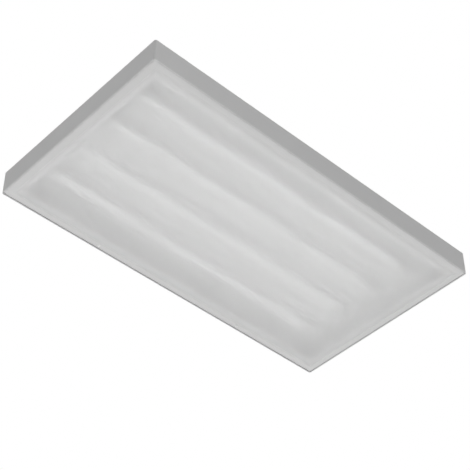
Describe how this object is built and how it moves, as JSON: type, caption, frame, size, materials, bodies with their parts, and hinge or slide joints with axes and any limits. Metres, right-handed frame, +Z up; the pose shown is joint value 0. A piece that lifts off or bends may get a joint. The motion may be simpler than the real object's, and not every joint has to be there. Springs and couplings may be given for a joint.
{
  "type": "suspended office luminaire",
  "caption": "Flat rectangular suspended office luminaire: white steel housing with tubular lamps behind a hinged frame that holds an opal diffuser.",
  "frame": {"origin": "centre of the top face, midway between the suspension points", "axes": "+Z up, +X along the lamps away from the gear end, +Y towards the cover screws"},
  "size_m": [1.2, 0.65, 0.08],
  "materials": {
    "white_paint": "satin white powder coat",
    "reflector_white": "gloss white coat",
    "opal_acrylic": "satin opal acrylic",
    "lamp_glass": "white coated glass",
    "cap_aluminium": "satin",
    "pin_brass": "plain",
    "holder_plastic": "moulded white",
    "rotor_plastic": "moulded white",
    "zinc_steel": "zinc plated",
    "screw_white": "white coated steel",
    "seal_foam": "white foam",
    "bushing_rubber": "soft rubber",
    "washer_nylon": "natural nylon",
    "terminal_plastic": "light grey moulded",
    "button_plastic": "orange moulded",
    "driver_plastic": "white moulded",
    "board_laminate": "green laminate",
    "component_black": "black",
    "connector_plastic": "ivory moulded",
    "wire_brown": "insulation",
    "wire_blue": "insulation",
    "wire_earth": "insulation",
    "wire_white": "insulation"
  },
  "bodies": {
    "housing": {"housing": "white_paint", "gear_cover": "white_paint", "reflector_tray": "reflector_white", "tray_skirts": "reflector_white", "suspension_nuts": "zinc_steel", "tray_studs": "zinc_steel", "tray_nuts": "zinc_steel", "screw_brackets": "zinc_steel", "bracket_nuts": "zinc_steel", "hinge_pins": "zinc_steel", "hinge_rings": "zinc_steel", "gear_screws": "zinc_steel", "earth_stud": "zinc_steel", "earth_nut": "zinc_steel", "earth_lug": "zinc_steel", "hinge_washers": "washer_nylon", "cable_bushing": "bushing_rubber", "near_lampholders": "holder_plastic", "far_lampholders": "holder_plastic", "terminal_block": "terminal_plastic", "terminal_clamps": "pin_brass", "driver_base": "driver_plastic", "driver_lid": "driver_plastic", "driver_board": "board_laminate", "driver_connectors": "connector_plastic", "driver_parts": "component_black", "line_wire": "wire_brown", "neutral_wire": "wire_blue", "earth_wire": "wire_earth", "lamp_leads": "wire_white"},
    "cover": {"cover_frame": "white_paint", "diffuser_seal": "seal_foam", "diffuser": "opal_acrylic", "diffuser_clips": "zinc_steel", "screw_retainers": "washer_nylon"},
    "cover_screw_near": {"cover_screw_near": "screw_white"},
    "cover_screw_far": {"cover_screw_far": "screw_white"},
    "lamp_1": {"lamp_1_tube": "lamp_glass", "lamp_1_caps": "cap_aluminium", "lamp_1_pins": "pin_brass", "lamp_1_rotors": "rotor_plastic"},
    "lamp_2": {"lamp_2_tube": "lamp_glass", "lamp_2_caps": "cap_aluminium", "lamp_2_pins": "pin_brass", "lamp_2_rotors": "rotor_plastic"},
    "lamp_3": {"lamp_3_tube": "lamp_glass", "lamp_3_caps": "cap_aluminium", "lamp_3_pins": "pin_brass", "lamp_3_rotors": "rotor_plastic"},
    "lamp_4": {"lamp_4_tube": "lamp_glass", "lamp_4_caps": "cap_aluminium", "lamp_4_pins": "pin_brass", "lamp_4_rotors": "rotor_plastic"},
    "button_line": {"terminal_button_line": "button_plastic"},
    "button_neutral": {"terminal_button_neutral": "button_plastic"},
    "button_earth": {"terminal_button_earth": "button_plastic"}
  },
  "joints": [
    {"name": "cover_hinge", "type": "hinge", "parent": "housing", "child": "cover", "pos_m": [0, -0.3115, -0.073], "axis": [-1, 0, 0], "range_deg": [0, 90]},
    {"name": "cover_screw_near_turn", "type": "hinge", "parent": "cover", "child": "cover_screw_near", "pos_m": [-0.269, 0.311, -0.078], "axis": [0, 0, 1], "continuous": true},
    {"name": "cover_screw_far_turn", "type": "hinge", "parent": "cover", "child": "cover_screw_far", "pos_m": [0.269, 0.311, -0.078], "axis": [0, 0, 1], "continuous": true},
    {"name": "lamp_1_turn", "type": "hinge", "parent": "housing", "child": "lamp_1", "pos_m": [0, -0.192, -0.04], "axis": [1, 0, 0], "range_deg": [0, 90]},
    {"name": "lamp_2_turn", "type": "hinge", "parent": "housing", "child": "lamp_2", "pos_m": [0, -0.064, -0.04], "axis": [1, 0, 0], "range_deg": [0, 90]},
    {"name": "lamp_3_turn", "type": "hinge", "parent": "housing", "child": "lamp_3", "pos_m": [0, 0.064, -0.04], "axis": [1, 0, 0], "range_deg": [0, 90]},
    {"name": "lamp_4_turn", "type": "hinge", "parent": "housing", "child": "lamp_4", "pos_m": [0, 0.192, -0.04], "axis": [1, 0, 0], "range_deg": [0, 90]},
    {"name": "button_line_press", "type": "slide", "parent": "housing", "child": "button_line", "axis": [0, 0, 1], "range_m": [0, 0.0015], "stiffness_N_per_m": 800},
    {"name": "button_neutral_press", "type": "slide", "parent": "housing", "child": "button_neutral", "axis": [0, 0, 1], "range_m": [0, 0.0015], "stiffness_N_per_m": 800},
    {"name": "button_earth_press", "type": "slide", "parent": "housing", "child": "button_earth", "axis": [0, 0, 1], "range_m": [0, 0.0015], "stiffness_N_per_m": 800}
  ]
}
